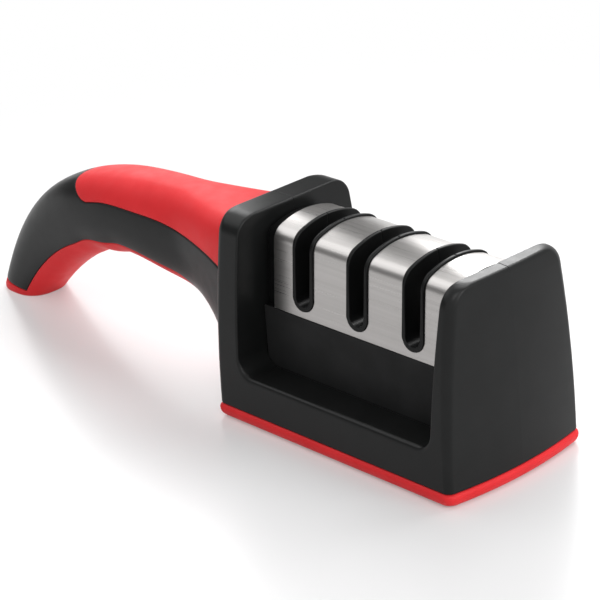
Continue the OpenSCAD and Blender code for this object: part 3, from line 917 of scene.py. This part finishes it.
plate_out = plate_half_thickness + fit
for side, end, node_name in ((-1, "front", "cartridge_front"), (1, "rear", "cartridge_rear")):
    low = (carrier_left, min(0, cover_half_depth * side), carrier_low)
    high = (carrier_right, max(0, cover_half_depth * side), carrier_shoulder)
    carrier = block("carrier_" + end, low, high)
    combine(carrier, half_bar("ends", side, ends_inset, carrier_left, carrier_right), "UNION")
    combine(carrier, half_bar("bed", side, bed_inset, cover_left, cover_right), "UNION")
    for x in slot_places:
        rim = half_bar("rim", side, -rim_proud, x - 5, x + 5)
        combine(rim, slot_cutter("rim_shape", x, rim_half_width, rim_floor), "INTERSECT")
        combine(carrier, rim, "UNION")
    for x in slot_places:
        combine(carrier, slot_cutter("slot", x, slot_half_width, slot_floor))
    seat_low = (-plate_half_width - fit, -plate_out, stick_low - fit)
    seat_high = (plate_half_width + fit, plate_out, stick_high + fit)
    seat = block("plate_seat", seat_low, seat_high)
    stand_in_vee(seat, slot_places[0], side, plate_half_width, side * plate_out)
    combine(carrier, seat)
    for x, diameter in zip(slot_places[1:], rod_diameters):
        outer = diameter / 2 + fit
        seat_line = arc(0, 0, outer, 180, 360, 24) + [(outer, diameter), (-outer, diameter)]
        turned_line = [(px, -side * py) for px, py in seat_line]
        seat = prism("rod_seat", turned_line, "Z", stick_low - fit, stick_high + fit)
        stand_in_vee(seat, x, side, diameter / 2, side * outer)
        combine(carrier, seat)
    for x in carrier_screw_places:
        combine(carrier, drill(x, carrier_screw_height, 2.6, -9.1, 28))
        combine(carrier, drill(x, carrier_screw_height, 5, 7.5, 28))
    for x in carrier_pin_places:
        combine(carrier, drill(x, carrier_pin_height, pin_hole, -pin_hole_reach, pin_hole_reach))
    soften(carrier, 0.42, rim_edge, 4)
    carrier.data.materials.clear()
    carrier.data.materials.append(smooth_black)
    carrier.data.materials.append(grained_black)
    for face in carrier.data.polygons:
        outside = abs(face.center.y) > (cover_half_depth - 0.5) * mm
        if outside and face.center.z < rims_from * mm:
            face.material_index = 1
    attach(carrier, "cartridge")
    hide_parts(node_name)


# Steel cover: one sheet of brushed stainless steel, bent over the carrier and slotted for the liners.
# It is brushed along its length and its cut edges are just broken.
def brushed_steel(name):
    material, surface = new_finish(name)
    place = add_node(material, "TexCoord").outputs["Object"]
    along = add_node(material, "Mapping", {"Vector": place, "Scale": (26, 5200, 5200)}).outputs["Vector"]
    coarse = add_node(material, "Mapping", {"Vector": place, "Scale": (9, 900, 900)}).outputs["Vector"]
    hair = add_node(material, "TexNoise", {"Vector": along, "Scale": 1, "Detail": 3}).outputs["Fac"]
    band = add_node(material, "TexNoise", {"Vector": coarse, "Scale": 1, "Detail": 2}).outputs["Fac"]
    bump = add_node(material, "Bump", {"Strength": 0.012, "Distance": 0.00002, "Height": hair})
    colour = shades(material, band, (0.44, 0.425, 0.415), (0.48, 0.465, 0.455))
    link(material, colour, surface.inputs["Base Color"])
    link(material, spread(material, hair, 0.27, 0.33), surface.inputs["Roughness"])
    link(material, bump.outputs["Normal"], surface.inputs["Normal"])
    link(material, add_node(material, "Tangent", axis="X").outputs["Tangent"], surface.inputs["Tangent"])
    surface.inputs["Metallic"].default_value = 1
    surface.inputs["Anisotropic"].default_value = 0.35
    return material


def cover_edge(middle):
    """Rounding of the sheet's edges: full round its outside, less along the slots."""
    x, y, z = middle
    if x < cover_left + 0.05 or x > cover_right - 0.05 or z < cover_low + 0.05:
        return 1
    return 0.6 if out_of_cover(y, z) > -0.05 else 0


sheet_thickness = 0.7
outer_half = half_cover(0, cover_low)
inner_half = half_cover(sheet_thickness, cover_low)
sheet_ring = [(-y, z) for y, z in outer_half] + outer_half[-2::-1]
sheet_ring += inner_half + [(-y, z) for y, z in inner_half[-2::-1]]
cover = bar("steel_wrap", sheet_ring, cover_left, cover_right)
for x in slot_places:
    combine(cover, slot_cutter("slot", x, rim_half_width + fit, rim_floor - fit))
soften(cover, 0.16, cover_edge, 2)
cover.data.materials.clear()
cover.data.materials.append(brushed_steel("brushed_steel"))
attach(cover, "cartridge")
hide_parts("steel_cover")


# Abrasives: two crossing pieces in each slot, clamped between the carrier halves. The first slot has ground
# carbide plates, the second diamond-plated rods and the third fired ceramic rods.
def gritty(name, dark, light, rough, scale, grain, metal):
    """An abrasive surface: bright and dark grains over a matt ground."""
    material, surface = new_finish(name)
    place = add_node(material, "TexCoord").outputs["Object"]
    grains = add_node(material, "TexVoronoi", {"Vector": place, "Scale": scale}).outputs["Distance"]
    worn = add_node(material, "TexNoise", {"Vector": place, "Scale": 500, "Detail": 4}).outputs["Fac"]
    bump = add_node(material, "Bump", {"Strength": grain, "Distance": 0.00008, "Height": grains})
    link(material, shades(material, grains, dark, light), surface.inputs["Base Color"])
    link(material, spread(material, worn, rough - 0.08, rough + 0.08), surface.inputs["Roughness"])
    link(material, bump.outputs["Normal"], surface.inputs["Normal"])
    surface.inputs["Metallic"].default_value = metal
    return material


def every_edge(middle):
    return 1


def rod_end_edge(middle):
    return 1 if middle.z < stick_low + 0.1 or middle.z > stick_high - 0.1 else 0


ground_carbide = gritty("ground_carbide", (0.27, 0.275, 0.285), (0.36, 0.365, 0.375), 0.34, 2600, 0.1, 1)
diamond_plating = gritty("diamond_plating", (0.13, 0.125, 0.12), (0.34, 0.33, 0.31), 0.5, 3800, 0.6, 0.6)
fired_ceramic = gritty("fired_ceramic", (0.78, 0.76, 0.7), (0.85, 0.83, 0.77), 0.55, 5200, 0.25, 0)
plate_low = (-plate_half_width, -plate_half_thickness, stick_low)
plate_high = (plate_half_width, plate_half_thickness, stick_high)
for side, end in ((-1, "front"), (1, "rear")):
    plate = block("carbide_plate_" + end, plate_low, plate_high)
    soften(plate, 0.18, every_edge, 2)
    rods = []
    for rod_name, diameter in zip(("diamond_stick_", "ceramic_stick_"), rod_diameters):
        rod = prism(rod_name + end, arc(0, 0, diameter / 2, 0, 352.5, 47), "Z", stick_low, stick_high)
        soften(rod, 0.35, rod_end_edge, 3)
        rods.append(rod)
    stand_in_vee(plate, slot_places[0], side, plate_half_width, side * plate_out)
    for rod, diameter, x in zip(rods, rod_diameters, slot_places[1:]):
        stand_in_vee(rod, x, side, diameter / 2, side * (diameter / 2 + fit))
    dressed = (
        (plate, "carbide_", "carbide", ground_carbide),
        (rods[0], "diamond_rod_", "diamond_coat", diamond_plating),
        (rods[1], "ceramic_rod_", "ceramic_white", fired_ceramic),
    )
    for piece, node_start, slot_name, finish in dressed:
        piece.data.materials.clear()
        piece.data.materials.append(finish)
        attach(piece, "cartridge")
        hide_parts(node_start + end)


# Studio: a plain white table with a slight gloss, which pales into the backdrop, and five soft boxes.
# Four glowing cards, no lamps, are seen only in gloss and steel as painted reflections: three grey fields of
# painted shade and one bright edge of painted highlight. Boxes and cards are placed in metres. The camera
# has a long lens and stands where the photograph was taken from.
bpy.ops.object.select_all(action="DESELECT")
bpy.ops.mesh.primitive_plane_add(size=6)
table = bpy.context.object
table.name = "table"
table_white, table_surface = new_finish("table_white")
table_surface.inputs["Base Color"].default_value = (0.8, 0.795, 0.8, 1)
table_surface.inputs["Roughness"].default_value = 0.27
table_surface.inputs["Specular IOR Level"].default_value = 0.5
ray = add_node(table_white, "LightPath").outputs
glow = add_node(table_white, "Emission", {"Color": (1, 1, 1, 1), "Strength": 1})
seen = add_node(
    table_white, "Math", {0: ray["Is Camera Ray"], 1: ray["Is Glossy Ray"]}, operation="MAXIMUM"
).outputs[0]
place = add_node(table_white, "TexCoord").outputs["Object"]
away = add_node(table_white, "VectorMath", {0: place}, operation="LENGTH").outputs["Value"]
paling = add_node(table_white, "MapRange", {
    "Value": away, "From Min": 0.12, "From Max": 0.32, "To Min": 0.24, "To Max": 1,
}, interpolation_type="SMOOTHSTEP").outputs["Result"]
share = add_node(table_white, "Math", {0: seen, 1: paling}, operation="MULTIPLY").outputs[0]
mixed = add_node(table_white, "MixShader", {0: share, 1: table_surface.outputs[0], 2: glow.outputs[0]})
link(table_white, mixed.outputs[0], table_white.node_tree.nodes["Material Output"].inputs["Surface"])
table.data.materials.append(table_white)

world = bpy.data.worlds.new("studio")
world.use_nodes = True
bpy.context.scene.world = world
sky = world.node_tree.nodes["Background"]
ray = world.node_tree.nodes.new("ShaderNodeLightPath").outputs
seen = ray["Is Camera Ray"]
for other in ("Is Glossy Ray", "Is Transmission Ray"):
    either = world.node_tree.nodes.new("ShaderNodeMath")
    either.operation = "MAXIMUM"
    world.node_tree.links.new(seen, either.inputs[0])
    world.node_tree.links.new(ray[other], either.inputs[1])
    seen = either.outputs[0]
level = world.node_tree.nodes.new("ShaderNodeMapRange")
level.inputs["To Min"].default_value = 0.4
level.inputs["To Max"].default_value = 1
world.node_tree.links.new(seen, level.inputs["Value"])
world.node_tree.links.new(level.outputs["Result"], sky.inputs["Strength"])
sky.inputs["Color"].default_value = (1, 1, 1, 1)


def soft_box(name, place, aim, size, watts):
    lamp = bpy.data.lights.new(name, "AREA")
    lamp.shape = "RECTANGLE"
    lamp.size, lamp.size_y = size
    lamp.energy = watts
    box = bpy.data.objects.new(name, lamp)
    bpy.context.scene.collection.objects.link(box)
    box.location = place
    box.rotation_euler = (Vector(aim) - Vector(place)).to_track_quat("-Z", "Y").to_euler()


soft_box("left_box", (-0.63, -0.21, 0.64), (0, 0, 0.03), (0.7, 0.55), 1.1)
soft_box("right_box", (0.8, 0.12, 0.38), (0, 0, 0.03), (0.6, 0.5), 3)
soft_box("top_box", (-0.05, 0.5, 0.85), (0, 0, 0.03), (0.7, 0.5), 5)
soft_box("over_box", (0.46, -0.39, 0.72), (0, 0, 0.03), (0.34, 0.42), 1.6)
soft_box("back_box", (-0.58, 0.53, 0.48), (0, 0, 0.05), (0.56, 0.34), 2.4)


def painted_reflection_card(name, place, aim, size, level):
    """A glowing flat that is no lamp and only shows in gloss and steel, as a painted reflection: at a low
    level a grey field of painted shade between the soft boxes, at a high level a bright edge of painted
    highlight.
    """
    bpy.ops.object.select_all(action="DESELECT")
    bpy.ops.mesh.primitive_plane_add(size=1, location=place)
    card = bpy.context.object
    card.name = name
    card.scale = size + (1,)
    card.rotation_euler = (Vector(aim) - Vector(place)).to_track_quat("Z", "Y").to_euler()
    painted_glow = new_finish(name)[0]
    glow = add_node(painted_glow, "Emission", {"Color": (1, 1, 1, 1), "Strength": level})
    link(painted_glow, glow.outputs[0], painted_glow.node_tree.nodes["Material Output"].inputs["Surface"])
    card.data.materials.append(painted_glow)
    card.visible_camera = False
    card.visible_diffuse = False
    card.visible_shadow = False


# Painted reflections. The near card paints shade on the steel's top, and the front card paints shade in the
# band below the steel's shoulder highlight and on the black faces. The left card paints shade on the
# handle's upper sides, and the edge card paints a bright highlight along the top of the free end wall.
painted_reflection_card("painted_reflection_near", (-0.101, 0.077, 0.122), (-0.012, 0, 0.057), (0.056, 0.125), 0.2)
painted_reflection_card("painted_reflection_front", (-0.62, -0.6, 0.27), (0, 0, 0.04), (1.0, 0.44), 0.22)
painted_reflection_card("painted_reflection_left", (-0.76, 0.02, 0.2), (-0.1, 0, 0.04), (0.46, 0.3), 0.12)
painted_reflection_card("painted_highlight_edge", (0.006, 0.037, 0.089), (0.043, 0, 0.059), (0.034, 0.023), 11)

photo_width_pixels = 600
focal_length_pixels = 2616
sensor_width = 36
viewpoint = (460.91, -443.77, 320.79)
camera = bpy.data.cameras.new("camera")
camera.lens = focal_length_pixels * sensor_width / photo_width_pixels
camera.sensor_width = sensor_width
camera.clip_end = 20
viewer = bpy.data.objects.new("camera", camera)
bpy.context.scene.collection.objects.link(viewer)
azimuth = radians(48.2)
elevation = radians(23.71)
roll = radians(-4.25)
back = Vector((sin(azimuth) * cos(elevation), -cos(azimuth) * cos(elevation), sin(elevation)))
level_right = Vector((cos(azimuth), sin(azimuth), 0))
level_up = back.cross(level_right)
right = level_right * cos(roll) + level_up * sin(roll)
up = level_up * cos(roll) - level_right * sin(roll)
turned = Matrix((right, up, back)).transposed().to_4x4()
viewer.matrix_world = Matrix.Translation(Vector(viewpoint) * mm) @ turned
bpy.context.scene.camera = viewer
bpy.context.scene.view_settings.view_transform = "Standard"
